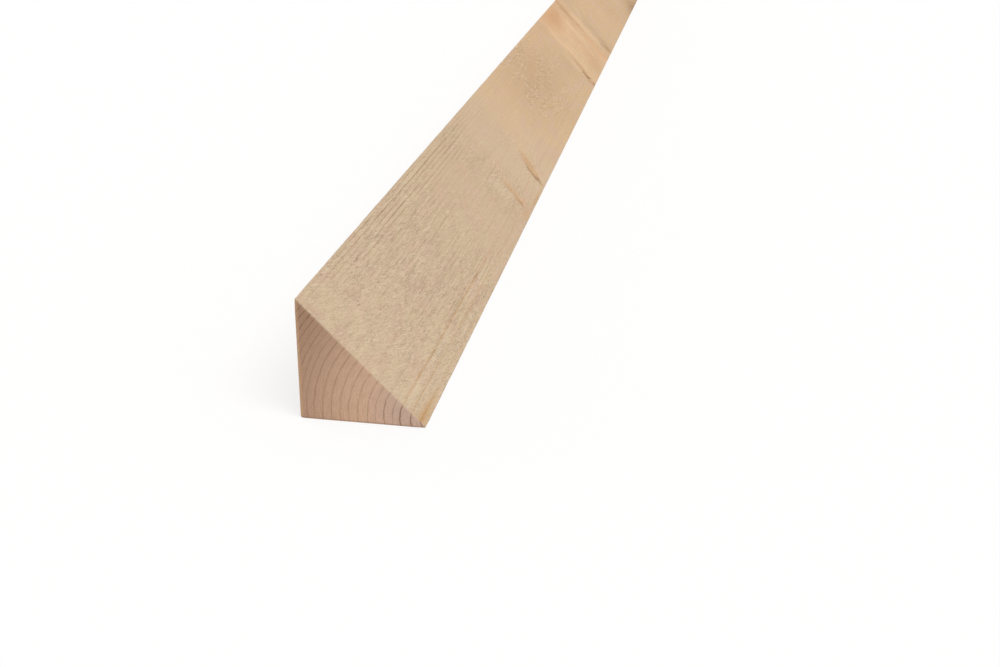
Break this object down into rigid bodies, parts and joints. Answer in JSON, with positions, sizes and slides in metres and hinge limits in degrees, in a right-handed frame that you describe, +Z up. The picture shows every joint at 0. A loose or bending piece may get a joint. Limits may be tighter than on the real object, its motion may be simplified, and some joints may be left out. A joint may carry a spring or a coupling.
{
  "type": "triangular batten",
  "caption": "Long sawn softwood batten with a right-angled triangular section, nailed into a corner so that felt, sheet or concrete turns it over a slope.",
  "frame": {"origin": "middle of the base face, the leg that the batten lies on", "axes": "+X from the upright back to the thin toe, +Y along the length, +Z up"},
  "size_m": [0.0493, 2, 0.0493],
  "materials": {
    "sawn_spruce": "raw, rough from the saw on the slope and finer on the two square faces"
  },
  "bodies": {
    "root": {"triangular_batten": "sawn_spruce"}
  },
  "joints": []
}
